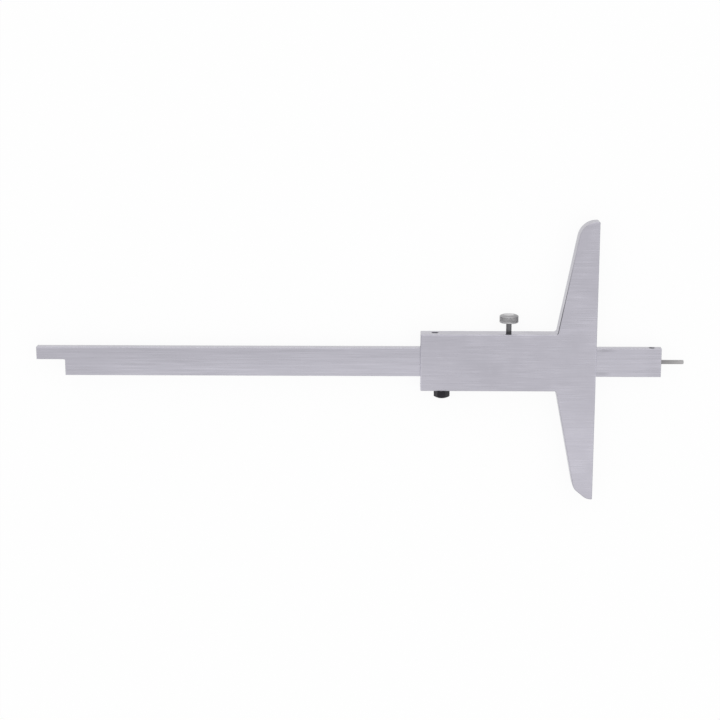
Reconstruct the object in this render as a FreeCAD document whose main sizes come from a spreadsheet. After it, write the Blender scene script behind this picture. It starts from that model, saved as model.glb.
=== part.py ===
import FreeCAD, Part
import Sketcher
import os
import re

# A depth caliper with a 100 mm measuring bridge and a reversible stepped beam.
# X runs along the beam towards the measuring pin, and x = 0 is the measuring face of the bridge.
# Y runs across the beam towards the lock screw, and y = 0 is the middle of the beam.
# Z points up from the table that the graduated front face rests on, at z = 0.

# Driving dimensions in millimetres: alias, value, what it measures.
DRIVING_SIZES = [
    ("bridge_length", 100.0, "length of the measuring bridge, across the beam"),
    ("arm_root", 13.8, "depth of a bridge arm where it leaves the slider"),
    ("arm_tip", 6.06, "depth of a bridge arm at its outer end, before rounding"),
    ("tip_round", 6.5, "rounding of the upper arm's outer end"),
    ("tip_cut", 4.05, "slanted cut at the lower arm's outer end"),
    ("cut_round", 4.2, "rounding of both corners of that cut"),
    ("root_fillet", 1.0, "fillet between slider and arm"),
    ("face_corner", 0.25, "rounding at both ends of the measuring face"),
    ("slider_length", 61.8, "measuring face to the far end of the slider"),
    ("slider_height", 20.4, "slider across the beam"),
    ("slider_corner", 0.4, "rounding of the slider's two far corners"),
    ("front_wall", 2.1, "wall between the front face and the tunnel"),
    ("rear_wall", 1.1, "wall between the tunnel and the rear face"),
    ("edge_break", 0.25, "broken edge round the front and rear faces"),
    ("running_gap", 0.05, "clearance on each face of the beam"),
    ("beam_length", 221.0, "whole length of the beam"),
    ("beam_width", 10.2, "beam across its graduated face"),
    ("beam_thickness", 3.5, "thickness of the beam"),
    ("beam_out", 23.0, "beam end past the measuring face as it lies"),
    ("beam_break", 0.15, "broken edge of the beam"),
    ("notch_length", 10.1, "length of the step at the far end"),
    ("tongue_width", 4.45, "tongue that the step leaves"),
    ("notch_fillet", 0.5, "fillet in the corner of the step"),
    ("pin_diameter", 1.5, "measuring pin"),
    ("pin_out", 8.0, "pin past the end of the beam"),
    ("pin_held", 12.0, "pin inside the beam"),
    ("pin_break", 0.1, "broken edge of the pin"),
    ("seat_gap", 0.02, "clearance round a pin or screw in its own hole"),
    ("drill_over", 0.3, "how far a drill runs past what it has to reach"),
    ("pin_screw_inset", 3.25, "pin set screw from the end of the beam"),
    ("pin_screw_diameter", 2.0, "thread of the pin set screw"),
    ("pin_screw_sink", 0.35, "pin set screw below the edge of the beam"),
    ("gib_thickness", 1.2, "thickness of the gib strip"),
    ("gib_end_gap", 0.5, "gib strip short of each end of the slider"),
    ("gib_dimple", 0.5, "depth of the dimple for the gib screw's point"),
    ("gib_screw_inset", 5.1, "gib screw from the far end of the slider"),
    ("gib_screw_drop", 0.9, "gib screw below the middle of the beam"),
    ("gib_screw_diameter", 2.5, "thread of the gib screw"),
    ("gib_screw_point", 0.25, "radius of the gib screw's blunt point"),
    ("gib_screw_sink", 0.5, "gib screw below the edge of the slider"),
    ("driver_slot_width", 0.4, "screwdriver slot of the set screws"),
    ("driver_slot_depth", 0.7, "depth of that slot"),
    ("screw_break", 0.2, "broken edge of the set screws"),
    ("lock_back", 30.74, "lock screw behind the measuring face"),
    ("lock_diameter", 2.0, "thread of the lock screw"),
    ("lock_mouth", 0.15, "countersink of the lock screw's hole"),
    ("lock_head_diameter", 6.7, "knurled head"),
    ("lock_head_height", 2.85, "height of the knurled head"),
    ("lock_head_break", 0.3, "chamfer of the head's lower rim"),
    ("lock_head_bevel", 0.8, "bevel round the head's end, across the head"),
    ("lock_head_drop", 0.45, "the same bevel, along the head"),
    ("lock_head_gap", 3.9, "head above the edge of the slider, tightened"),
    ("knurl_count", 36.0, "grooves round the head"),
    ("knurl_depth", 0.16, "depth of a knurl groove"),
    ("pad_length", 1.2, "pressure pad under the lock screw"),
    ("stud_inset", 7.63, "thumb stud from the far end of the slider"),
    ("stud_thread", 2.5, "thread of the thumb stud"),
    ("stud_reach", 3.2, "thumb stud's thread in the slider"),
    ("stud_flats", 4.9, "hexagon head of the thumb stud, across its flats"),
    ("stud_turn", 4.0, "degrees from the beam's line to a corner of the hexagon"),
    ("stud_head_height", 2.95, "height of the hexagon head"),
    ("stud_head_bevel", 1.3, "bevel round the hexagon's end, across the head"),
    ("stud_head_drop", 0.55, "the same bevel, along the head"),
    ("window_near", 13.0, "measuring face to the reading window"),
    ("window_end_wall", 3.8, "reading window to the far end of the slider"),
    ("window_lip", 0.8, "front wall left over the beam's upper edge"),
    ("window_corner", 1.0, "rounding of the window's upper corners"),
    ("plate_wall", 1.4, "rim outside the vernier plate's seat"),
    ("plate_sink", 0.3, "vernier plate below the front face"),
    ("plate_gap", 0.1, "clearance round the vernier plate"),
    ("plate_land", 3.0, "flat of the vernier plate beside its bevel"),
    ("plate_edge", 0.25, "thickness left at the bevelled edge"),
    ("plate_overlap", 1.9, "vernier plate over the beam"),
    ("plate_screw_spacing", 24.0, "between the two vernier plate screws"),
    ("plate_screw_diameter", 1.4, "thread of a vernier plate screw"),
    ("plate_screw_head", 2.6, "countersunk head of that screw"),
    ("plate_screw_rim", 0.1, "straight rim of the countersunk head"),
    ("plate_screw_reach", 2.4, "thread of that screw in the slider"),
    ("plate_slot_depth", 0.3, "screwdriver slot of that screw"),
]

# Sizes that follow from the driving ones, as formulas for the sheet's names.
BODY_THICKNESS = "(front_wall + beam_thickness + 2 * running_gap + rear_wall)"
SLIDER_HALF = "(slider_height / 2)"
BRIDGE_HALF = "(bridge_length / 2)"
BEAM_HALF = "(beam_width / 2)"
BEAM_FRONT = "(front_wall + running_gap)"
BEAM_MIDDLE = f"({BEAM_FRONT} + beam_thickness / 2)"
TUNNEL_LOW = f"(0 - {BEAM_HALF} - running_gap)"
GIB_INNER = f"({BEAM_HALF} + running_gap)"
GIB_OUTER = f"({GIB_INNER} + gib_thickness)"
TUNNEL_HIGH = f"({GIB_OUTER} + running_gap)"
PAD_PLACE = f"({GIB_OUTER} + seat_gap)"
TUNNEL_REAR = "(front_wall + beam_thickness + 2 * running_gap)"
BORE_DEPTH = f"({SLIDER_HALF} - {TUNNEL_HIGH} + drill_over)"
GIB_SCREW_BACK = "(slider_length - gib_screw_inset)"
GIB_SCREW_HEIGHT = f"({BEAM_MIDDLE} - gib_screw_drop)"
STUD_BACK = "(slider_length - stud_inset)"
WINDOW_FAR = "(slider_length - window_end_wall)"
WINDOW_TOP = f"({BEAM_HALF} - window_lip)"
SEAT_LOW = f"({SLIDER_HALF} - plate_wall)"
PLATE_LOW = f"({SEAT_LOW} - plate_gap)"
PLATE_SCREW_LINE = f"({PLATE_LOW} - plate_land / 2)"
PLATE_MIDDLE = f"((window_near + {WINDOW_FAR}) / 2)"
COUNTERSINK = "((plate_screw_head - plate_screw_diameter) / 2)"
ARM_SLOPE = f"atan((arm_root - arm_tip) / ({BRIDGE_HALF} - {SLIDER_HALF}))"
# A rounding of an arm's end may take no more of its end face than the other corners leave.
TIP_ROUND = f"min(tip_round; 0.98 * (arm_tip - face_corner) * tan(45 deg + {ARM_SLOPE} / 2))"
CUT_ROUND = (
    "min(cut_round; 0.98 * (arm_tip - tip_cut - face_corner)"
    f" / tan((90 deg - {ARM_SLOPE}) / 4))"
)
STUD_CORNER = "(stud_flats / 2 / cos(30 deg))"

ALIASES = {alias for alias, _, _ in DRIVING_SIZES}
TOUCH = 1e-4

doc = FreeCAD.newDocument("depth_caliper")


def fill_sheet():
    """Write the driving dimensions into the sheet, one row each."""
    sheet = doc.addObject("Spreadsheet::Sheet", "Sizes")
    for row, (alias, value, meaning) in enumerate(DRIVING_SIZES, start=1):
        sheet.set(f"A{row}", meaning)
        sheet.set(f"B{row}", str(value))
        sheet.setAlias(f"B{row}", alias)
    doc.recompute()
    return sheet


def formula(text):
    """Point each alias in a formula at its cell of the sheet."""

    def cell_of(word):
        return f"Sizes.{word.group()}" if word.group() in ALIASES else word.group()

    return re.sub(r"[a-z_]+", cell_of, text)


def size(text):
    """The number that a formula gives now."""
    result = sheet.evalExpression(formula(text))
    return float(getattr(result, "Value", result))


def new_body(label, turn=None, at=("0", "0", "0")):
    """A body with its own name and place. turn is an axis and an angle in degrees."""
    body = doc.addObject("PartDesign::Body", label)
    body.Label = label
    if turn:
        body.Placement = FreeCAD.Placement(FreeCAD.Vector(), FreeCAD.Rotation(*turn))
    for letter, place in zip("xyz", at):
        body.setExpression(f"Placement.Base.{letter}", formula(place))
    doc.recompute()
    return body


def origin_feature(body, role):
    """One of the body's own origin planes or axes."""
    return next(item for item in body.Origin.OriginFeatures if item.Role == role)


def new_sketch(body, name, plane, lift="0"):
    """An empty sketch on one of the body's own planes, lifted along that plane's normal."""
    sketch = body.newObject("Sketcher::SketchObject", f"{body.Label}_{name}")
    sketch.AttachmentSupport = [(origin_feature(body, plane), "")]
    sketch.MapMode = "FlatFace"
    sketch.setExpression("AttachmentOffset.Base.z", formula(lift))
    return sketch


def tie_point(sketch, curve, end, across, along):
    """Hold one point of a sketch at the place that two formulas give."""
    for kind, axis, text in (("DistanceX", -2, across), ("DistanceY", -1, along)):
        if text == "0":
            sketch.addConstraint(Sketcher.Constraint("PointOnObject", curve, end, axis))
            continue
        index = sketch.addConstraint(Sketcher.Constraint(kind, -1, 1, curve, end, size(text)))
        sketch.setExpression(f"Constraints[{index}]", formula(text))


def outline(body, name, plane, corners, lift="0"):
    """A closed outline of straight lines, with every corner tied to the sheet."""
    sketch = new_sketch(body, name, plane, lift)
    points = [FreeCAD.Vector(size(across), size(along), 0) for across, along in corners]
    for index, point in enumerate(points):
        sketch.addGeometry(Part.LineSegment(point, points[(index + 1) % len(points)]), False)
    for index in range(len(points)):
        following = (index + 1) % len(points)
        sketch.addConstraint(Sketcher.Constraint("Coincident", index, 2, following, 1))
    for index, (across, along) in enumerate(corners):
        tie_point(sketch, index, 1, across, along)
    return sketch


def circles(body, name, plane, centres, diameter, lift="0"):
    """One circle of the same diameter round each centre, tied to the sheet."""
    sketch = new_sketch(body, name, plane, lift)
    for index, (across, along) in enumerate(centres):
        centre = FreeCAD.Vector(size(across), size(along), 0)
        sketch.addGeometry(Part.Circle(centre, FreeCAD.Vector(0, 0, 1), size(diameter) / 2), False)
        tie_point(sketch, index, 3, across, along)
        width = sketch.addConstraint(Sketcher.Constraint("Diameter", index, size(diameter)))
        sketch.setExpression(f"Constraints[{width}]", formula(diameter))
    return sketch


def finish_feature(body, feature, grows, base=None):
    """Rebuild and make sure that the feature added or took away material as it should."""
    base = base or feature.BaseFeature
    before = base.Shape.Volume if base else 0.0
    doc.recompute()
    change = feature.Shape.Volume - before
    if (change > TOUCH) != grows or abs(change) < TOUCH:
        raise RuntimeError(f"{feature.Name} changed the volume by {change:.4f}")
    body.Tip = feature
    return feature


def pad(body, sketch, length):
    """Raise a solid from a sketch, along the normal of its plane."""
    feature = body.newObject("PartDesign::Pad", f"{sketch.Name}_pad")
    feature.Profile = sketch
    feature.setExpression("Length", formula(length))
    return finish_feature(body, feature, grows=True)


def pocket(body, sketch, length, forwards=True):
    """Cut a sketch into the solid, forwards along the normal of its plane or back against it."""
    feature = body.newObject("PartDesign::Pocket", f"{sketch.Name}_pocket")
    feature.Profile = sketch
    feature.Reversed = forwards
    feature.setExpression("Length", formula(length))
    return finish_feature(body, feature, grows=False)


def turned(body, name, profile):
    """A solid of revolution round the body's own Z axis, from radius and height pairs."""
    sketch = outline(body, name, "XZ_Plane", profile)
    feature = body.newObject("PartDesign::Revolution", f"{sketch.Name}_turned")
    feature.Profile = sketch
    feature.ReferenceAxis = (sketch, ["V_Axis"])
    feature.Angle = 360
    return finish_feature(body, feature, grows=True)


def bevelled(body, kind, elements, amount):
    """Chamfer or fillet named edges or faces of the body's newest feature."""
    last = body.Tip
    feature = body.newObject(f"PartDesign::{kind}", f"{body.Label}_{kind.lower()}")
    feature.Base = (last, elements)
    feature.setExpression("Size" if kind == "Chamfer" else "Radius", formula(amount))
    doc.recompute()
    body.Tip = feature
    return feature


def level_faces(body, heights):
    """The flat faces of the newest feature that lie at the given heights."""
    return [
        f"Face{index}"
        for index, face in enumerate(body.Tip.Shape.Faces, start=1)
        if face.BoundBox.ZLength < TOUCH and any(abs(face.BoundBox.ZMin - size(z)) < TOUCH for z in heights)
    ]


def upright_edges(body, corners):
    """The straight edges along Z of the newest feature that stand at the given corners."""
    places = [(size(across), size(along)) for across, along in corners]
    found = []
    for index, edge in enumerate(body.Tip.Shape.Edges, start=1):
        box = edge.BoundBox
        slim = box.XLength < TOUCH and box.YLength < TOUCH
        if slim and any(abs(box.XMin - x) < TOUCH and abs(box.YMin - y) < TOUCH for x, y in places):
            found.append(f"Edge{index}")
    return found


def rim_edges(body, axis, place, radius):
    """The whole circles of the newest feature with this radius, at this place along an axis."""
    return [
        f"Edge{index}"
        for index, edge in enumerate(body.Tip.Shape.Edges, start=1)
        if isinstance(edge.Curve, Part.Circle)
        and edge.isClosed()
        and abs(edge.Curve.Radius - size(radius)) < TOUCH
        and abs(getattr(edge.Curve.Center, axis) - size(place)) < TOUCH
    ]


def mirrored(corners):
    """The same corners on the other side of the beam."""
    return [(across, f"(0 - {along})") for across, along in corners]


def repeated_round(body, cut, count):
    """Repeat the newest cut round the body's own Z axis."""
    pattern = body.newObject("PartDesign::PolarPattern", f"{cut.Name}_pattern")
    pattern.Originals = [cut]
    pattern.Axis = (origin_feature(body, "Z_Axis"), [""])
    pattern.Angle = 360
    pattern.setExpression("Occurrences", formula(count))
    return finish_feature(body, pattern, grows=False, base=cut)


def make_slider_bridge():
    """Slider and bridge in one piece: a T with a tunnel for the beam and a reading window."""
    body = new_body("slider_bridge")
    face_end = ("0", BRIDGE_HALF)
    arm_end = ("(0 - arm_tip)", BRIDGE_HALF)
    arm_foot = ("(0 - arm_root)", SLIDER_HALF)
    slider_end = ("(0 - slider_length)", SLIDER_HALF)
    upper = [face_end, arm_end, arm_foot, slider_end]
    cut_corners = [
        ("(0 - arm_tip + tip_cut)", BRIDGE_HALF),
        (f"(0 - arm_tip - tip_cut * sin({ARM_SLOPE}))", f"({BRIDGE_HALF} - tip_cut * cos({ARM_SLOPE}))"),
    ]
    lower = mirrored([face_end, *cut_corners, arm_foot, slider_end])
    pad(body, outline(body, "plan", "XY_Plane", upper + lower[::-1]), BODY_THICKNESS)
    for corners, radius in (
        ([arm_end], TIP_ROUND),
        (mirrored(cut_corners), CUT_ROUND),
        ([arm_foot, *mirrored([arm_foot])], "root_fillet"),
        ([face_end, *mirrored([face_end])], "face_corner"),
        ([slider_end, *mirrored([slider_end])], "slider_corner"),
    ):
        bevelled(body, "Fillet", upright_edges(body, corners), radius)
    bevelled(body, "Chamfer", level_faces(body, ("0", BODY_THICKNESS)), "edge_break")

    tunnel = [
        (TUNNEL_LOW, "front_wall"),
        (TUNNEL_HIGH, "front_wall"),
        (TUNNEL_HIGH, TUNNEL_REAR),
        (TUNNEL_LOW, TUNNEL_REAR),
    ]
    pocket(body, outline(body, "tunnel", "YZ_Plane", tunnel), "slider_length", forwards=False)
    window = [
        ("(0 - window_near)", f"(0 - {SEAT_LOW})"),
        ("(0 - window_near)", WINDOW_TOP),
        (f"(0 - {WINDOW_FAR})", WINDOW_TOP),
        (f"(0 - {WINDOW_FAR})", f"(0 - {SEAT_LOW})"),
    ]
    pocket(body, outline(body, "window", "XY_Plane", window), "front_wall")
    bevelled(body, "Fillet", upright_edges(body, window[1:3]), "window_corner")

    lock_bore = circles(body, "lock_bore", "XZ_Plane", [("(0 - lock_back)", BEAM_MIDDLE)],
                        "(lock_diameter + 2 * seat_gap)", f"(0 - {SLIDER_HALF})")
    pocket(body, lock_bore, BORE_DEPTH)
    mouth = rim_edges(body, "y", SLIDER_HALF, "(lock_diameter / 2 + seat_gap)")
    bevelled(body, "Chamfer", mouth, "lock_mouth")
    gib_bore = circles(body, "gib_bore", "XZ_Plane", [(f"(0 - {GIB_SCREW_BACK})", GIB_SCREW_HEIGHT)],
                       "(gib_screw_diameter + 2 * seat_gap)", f"(0 - {SLIDER_HALF})")
    pocket(body, gib_bore, BORE_DEPTH)
    stud_hole = circles(body, "stud_hole", "XZ_Plane", [(f"(0 - {STUD_BACK})", BEAM_MIDDLE)],
                        "(stud_thread + 2 * seat_gap)", SLIDER_HALF)
    pocket(body, stud_hole, "(stud_reach + drill_over)", forwards=False)
    screw_holes = circles(body, "screw_holes", "XY_Plane", plate_screw_places(),
                          "(plate_screw_diameter + 2 * seat_gap)", "front_wall")
    pocket(body, screw_holes, "(plate_screw_reach + drill_over)")
    return body


def plate_screw_places():
    """Where the two vernier plate screws stand, on both sides of the plate's middle."""
    return [
        (f"(0 - {PLATE_MIDDLE} {side} plate_screw_spacing / 2)", f"(0 - {PLATE_SCREW_LINE})")
        for side in "-+"
    ]


def make_vernier_plate():
    """The vernier plate: a strip with a long bevel down to the beam, held by two screws."""
    body = new_body("vernier_plate", at=(f"(0 - {WINDOW_FAR} + plate_gap)", "0", "0"))
    edge_line = f"(0 - {BEAM_HALF} + plate_overlap)"
    section = [
        (f"(0 - {PLATE_LOW})", "plate_sink"),
        (f"(0 - {PLATE_LOW} + plate_land)", "plate_sink"),
        (edge_line, "(front_wall - plate_edge)"),
        (edge_line, "front_wall"),
        (f"(0 - {PLATE_LOW})", "front_wall"),
    ]
    length = f"({WINDOW_FAR} - window_near - 2 * plate_gap)"
    pad(body, outline(body, "section", "YZ_Plane", section), length)
    start = f"(0 - {WINDOW_FAR} + plate_gap)"
    centres = [(f"({across} - {start})", along) for across, along in plate_screw_places()]
    hole = "(plate_screw_diameter + 2 * seat_gap)"
    pocket(body, circles(body, "holes", "XY_Plane", centres, hole), "front_wall")
    rims = rim_edges(body, "z", "plate_sink", f"({hole} / 2)")
    bevelled(body, "Chamfer", rims, f"({COUNTERSINK} + plate_screw_rim)")
    return body


def make_plate_screw(label, place):
    """A countersunk screw of the vernier plate, its head just below the front face."""
    body = new_body(label, at=(*place, "plate_sink"))
    rim = "plate_screw_rim"
    cone_end = f"({COUNTERSINK} + {rim})"
    tip = "(front_wall - plate_sink + plate_screw_reach)"
    turned(body, "profile", [
        ("0", "0"),
        ("(plate_screw_head / 2)", "0"),
        ("(plate_screw_head / 2)", rim),
        ("(plate_screw_diameter / 2)", cone_end),
        ("(plate_screw_diameter / 2)", tip),
        ("0", tip),
    ])
    cut_driver_slot(body, "plate_screw_head", "0", "plate_slot_depth", forwards=True)
    return body


def cut_driver_slot(body, width, height, depth, forwards):
    """A screwdriver slot across the end of a screw."""
    half = "(driver_slot_width / 2)"
    slot = [
        (f"(0 - {width})", f"(0 - {half})"),
        (width, f"(0 - {half})"),
        (width, half),
        (f"(0 - {width})", half),
    ]
    pocket(body, outline(body, "slot", "XY_Plane", slot, height), depth, forwards)


def make_beam():
    """The beam: a flat bar with a step cut into its far end and a bore for the pin in the other."""
    body = new_body("beam", at=("beam_out", "0", BEAM_FRONT))
    far, step = "(0 - beam_length)", "(0 - beam_length + notch_length)"
    tongue = f"({BEAM_HALF} - tongue_width)"
    corners = [
        ("0", f"(0 - {BEAM_HALF})"),
        ("0", BEAM_HALF),
        (far, BEAM_HALF),
        (far, tongue),
        (step, tongue),
        (step, f"(0 - {BEAM_HALF})"),
    ]
    pad(body, outline(body, "plan", "XY_Plane", corners), "beam_thickness")
    bevelled(body, "Fillet", upright_edges(body, [(step, tongue)]), "notch_fillet")
    bevelled(body, "Chamfer", level_faces(body, ("0", "beam_thickness")), "beam_break")
    pin_bore = circles(body, "pin_bore", "YZ_Plane", [("0", "(beam_thickness / 2)")],
                       "(pin_diameter + 2 * seat_gap)")
    pocket(body, pin_bore, "(pin_held + drill_over)", forwards=False)
    screw_hole = circles(body, "screw_hole", "XZ_Plane", [("(0 - pin_screw_inset)", "(beam_thickness / 2)")],
                         "(pin_screw_diameter + 2 * seat_gap)", f"(0 - {BEAM_HALF})")
    pocket(body, screw_hole, BEAM_HALF)
    return body


def make_measuring_pin():
    """The hardened pin that reaches into narrow bores."""
    place = ("(beam_out - pin_held)", "0", BEAM_MIDDLE)
    body = new_body("measuring_pin", (FreeCAD.Vector(0, 1, 0), 90), place)
    radius, length = "(pin_diameter / 2)", "(pin_held + pin_out)"
    turned(body, "profile", [
        ("0", "0"),
        (f"({radius} - pin_break)", "0"),
        (radius, "pin_break"),
        (radius, f"({length} - pin_break)"),
        (f"({radius} - pin_break)", length),
        ("0", length),
    ])
    return body


def make_set_screw(label, place, diameter, length, point_radius, point_length):
    """A headless slotted screw that points into the beam from its lock screw side."""
    body = new_body(label, (FreeCAD.Vector(1, 0, 0), -90), place)
    radius = f"({diameter} / 2)"
    turned(body, "profile", [
        ("0", "0"),
        (point_radius, "0"),
        (radius, point_length),
        (radius, f"({length} - screw_break)"),
        (f"({radius} - screw_break)", length),
        ("0", length),
    ])
    cut_driver_slot(body, diameter, length, "driver_slot_depth", forwards=False)
    return body


def make_pin_set_screw():
    """The set screw that holds the pin in the beam."""
    tip = "(pin_diameter / 2 + seat_gap)"
    length = f"({BEAM_HALF} - pin_screw_sink - {tip})"
    place = ("(beam_out - pin_screw_inset)", tip, BEAM_MIDDLE)
    return make_set_screw("pin_set_screw", place, "pin_screw_diameter", length,
                          "(pin_screw_diameter / 2 - screw_break)", "screw_break")


def make_gib_screw():
    """The cone-pointed set screw that presses the gib strip on the beam."""
    tip = f"({GIB_OUTER} - gib_dimple + seat_gap)"
    length = f"({SLIDER_HALF} - gib_screw_sink - {tip})"
    place = (f"(0 - {GIB_SCREW_BACK})", tip, GIB_SCREW_HEIGHT)
    point_length = "(gib_screw_diameter / 2 - gib_screw_point)"
    return make_set_screw("gib_screw", place, "gib_screw_diameter", length, "gib_screw_point", point_length)


def make_gib_strip():
    """The bronze strip between the beam and the slider, with a dimple for the gib screw."""
    body = new_body("gib_strip", at=("0", GIB_INNER, "0"))
    low, high = f"({BEAM_FRONT} + running_gap)", f"({BEAM_FRONT} + beam_thickness - running_gap)"
    near, far = "(0 - gib_end_gap)", "(0 - slider_length + gib_end_gap)"
    strip = outline(body, "strip", "XZ_Plane", [(near, low), (near, high), (far, high), (far, low)],
                    "(0 - gib_thickness)")
    pad(body, strip, "gib_thickness")
    dimple = circles(body, "dimple", "XZ_Plane", [(f"(0 - {GIB_SCREW_BACK})", GIB_SCREW_HEIGHT)],
                     "(2 * gib_screw_point)", "(0 - gib_thickness)")
    pocket(body, dimple, "gib_dimple")
    mouth = rim_edges(body, "y", "gib_thickness", "gib_screw_point")
    bevelled(body, "Chamfer", mouth, "(gib_dimple - seat_gap)")
    return body


def make_pressure_pad():
    """The brass pad between the lock screw and the gib strip, so that turning marks nothing."""
    place = ("(0 - lock_back)", PAD_PLACE, BEAM_MIDDLE)
    body = new_body("pressure_pad", (FreeCAD.Vector(1, 0, 0), -90), place)
    radius = "(lock_diameter / 2)"
    turned(body, "profile", [
        ("0", "0"),
        (f"({radius} - pin_break)", "0"),
        (radius, "pin_break"),
        (radius, "pad_length"),
        ("0", "pad_length"),
    ])
    return body


def make_lock_screw():
    """The lock screw: a knurled head on a thin threaded stem, turned from one bar."""
    foot = f"({PAD_PLACE} + pad_length + seat_gap)"
    body = new_body("lock_screw", (FreeCAD.Vector(1, 0, 0), -90), ("(0 - lock_back)", foot, BEAM_MIDDLE))
    stem, head = "(lock_diameter / 2)", "(lock_head_diameter / 2)"
    under = f"({SLIDER_HALF} + lock_head_gap - {foot})"
    top = f"({under} + lock_head_height)"
    turned(body, "profile", [
        ("0", "0"),
        (f"({stem} - screw_break)", "0"),
        (stem, "screw_break"),
        (stem, under),
        (f"({head} - lock_head_break)", under),
        (head, f"({under} + lock_head_break)"),
        (head, f"({top} - lock_head_drop)"),
        (f"({head} - lock_head_bevel)", top),
        ("0", top),
    ])
    outside = f"({head} + knurl_depth)"
    groove = outline(body, "groove", "XY_Plane", [
        (f"({head} - knurl_depth)", "0"),
        (outside, "(2 * knurl_depth)"),
        (outside, "(0 - 2 * knurl_depth)"),
    ], under)
    repeated_round(body, pocket(body, groove, "lock_head_height"), "knurl_count")
    return body


def make_thumb_stud():
    """The black hexagon screw in the lower edge of the slider, which the thumb pushes."""
    place = (f"(0 - {STUD_BACK})", f"(0 - {SLIDER_HALF})", BEAM_MIDDLE)
    body = new_body("thumb_stud", (FreeCAD.Vector(1, 0, 0), 90), place)
    thread = "(stud_thread / 2)"
    turned(body, "profile", [
        ("0", "(0 - stud_reach)"),
        (f"({thread} - screw_break)", "(0 - stud_reach)"),
        (thread, "(0 - stud_reach + screw_break)"),
        (thread, "0"),
        (STUD_CORNER, "0"),
        (STUD_CORNER, "(stud_head_height - stud_head_drop)"),
        (f"({STUD_CORNER} - stud_head_bevel)", "stud_head_height"),
        ("0", "stud_head_height"),
    ])
    side, reach = "(stud_flats / 2)", f"(2 * {STUD_CORNER})"
    turn = "((stud_turn + 30) * 1 deg)"
    flat = [
        (f"({out} * cos({turn}) - {aside} * sin({turn}))", f"({out} * sin({turn}) + {aside} * cos({turn}))")
        for out, aside in ((side, f"(0 - {reach})"), (reach, f"(0 - {reach})"), (reach, reach), (side, reach))
    ]
    cut = pocket(body, outline(body, "flat", "XY_Plane", flat), "stud_head_height")
    repeated_round(body, cut, "6")
    return body


def check_model(bodies):
    """Stop before writing anything if an object failed or a piece is empty or broken."""
    doc.recompute()
    for item in doc.Objects:
        if {"Invalid", "Error"} & set(item.State):
            raise RuntimeError(f"{item.Name} failed: {item.State}")
    for body in bodies:
        if body.Shape.isNull() or not body.Shape.isValid() or len(body.Shape.Solids) != 1:
            raise RuntimeError(f"{body.Label} is not one sound solid")


sheet = fill_sheet()
pieces = [
    make_slider_bridge(),
    make_vernier_plate(),
    make_beam(),
    make_measuring_pin(),
    make_pin_set_screw(),
    make_gib_strip(),
    make_gib_screw(),
    make_pressure_pad(),
    make_lock_screw(),
    make_thumb_stud(),
]
for screw_label, (screw_x, screw_y) in zip(("vernier_screw_far", "vernier_screw_near"), plate_screw_places()):
    pieces.append(make_plate_screw(screw_label, (screw_x, screw_y)))
check_model(pieces)

os.makedirs("parts", exist_ok=True)
for piece in pieces:
    piece.Shape.exportStep(f"parts/{piece.Label}.step")
    print(f"{piece.Label}: {piece.Shape.Volume:.2f} cubic mm")
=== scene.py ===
"""Looks of a vernier depth caliper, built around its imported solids.

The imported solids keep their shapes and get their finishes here. The lock screw is modelled again, with a
diamond knurl and a cut thread, and the hidden front gets the marks and the numbers of its two scales.
Lengths are in millimetres in the classes and in metres in the meshes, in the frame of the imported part.
SLACK is how far a face may lie from the place where it is looked for, and MERGE_WITHIN how near two
points are that become one, both in millimetres. STRAIGHT is the least cosine at which a face looks one way.
LOCK_AXIS is a point on the lock screw's axis.
"""

import logging
import math
from collections.abc import Callable
from dataclasses import dataclass, field
from enum import Enum

import bmesh
import bpy
from mathutils import Matrix, Vector


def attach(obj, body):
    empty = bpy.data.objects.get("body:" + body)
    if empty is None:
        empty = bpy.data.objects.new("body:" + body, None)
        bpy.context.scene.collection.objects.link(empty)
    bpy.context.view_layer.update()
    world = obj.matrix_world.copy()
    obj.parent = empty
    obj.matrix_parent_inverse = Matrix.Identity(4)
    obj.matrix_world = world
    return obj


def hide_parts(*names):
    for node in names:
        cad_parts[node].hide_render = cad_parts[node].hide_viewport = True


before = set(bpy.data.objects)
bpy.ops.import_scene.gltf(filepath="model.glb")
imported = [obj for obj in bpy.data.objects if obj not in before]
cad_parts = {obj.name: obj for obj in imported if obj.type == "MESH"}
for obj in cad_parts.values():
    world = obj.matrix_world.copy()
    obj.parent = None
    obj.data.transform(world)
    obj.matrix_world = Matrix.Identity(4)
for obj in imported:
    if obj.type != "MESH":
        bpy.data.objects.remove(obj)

MM = 0.001
SLACK = 0.01
STRAIGHT = 0.99
MERGE_WITHIN = 0.0005
Triple = tuple[float, float, float]
LOCK_AXIS: Triple = (-30.74, 0.0, 3.9)

logging.basicConfig(level=logging.INFO, format="%(name)s: %(message)s")
log = logging.getLogger("depth_caliper")


def vector(place: Triple) -> Vector:
    """Returns a place that is given in millimetres as a vector in metres."""
    return Vector(place) * MM


# Shader maths


class Wire:
    """An output socket that can stand in a Python expression."""

    def __init__(self, graph: "Graph", socket: bpy.types.NodeSocket) -> None:
        """Keeps the socket and the graph that it belongs to."""
        self.graph = graph
        self.socket = socket

    def _math(self, operation: str, *values: "Wire | float") -> "Wire":
        """Returns the result of a Math node."""
        return self.graph.node("ShaderNodeMath", {"operation": operation}, *values)

    def __add__(self, other: "Wire | float") -> "Wire":
        """Returns self + other."""
        return self._math("ADD", self, other)

    def __sub__(self, other: "Wire | float") -> "Wire":
        """Returns self - other."""
        return self._math("SUBTRACT", self, other)

    def __rsub__(self, other: float) -> "Wire":
        """Returns other - self."""
        return self._math("SUBTRACT", other, self)

    def __mul__(self, other: "Wire | float") -> "Wire":
        """Returns self * other."""
        return self._math("MULTIPLY", self, other)

    __radd__ = __add__
    __rmul__ = __mul__


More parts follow.
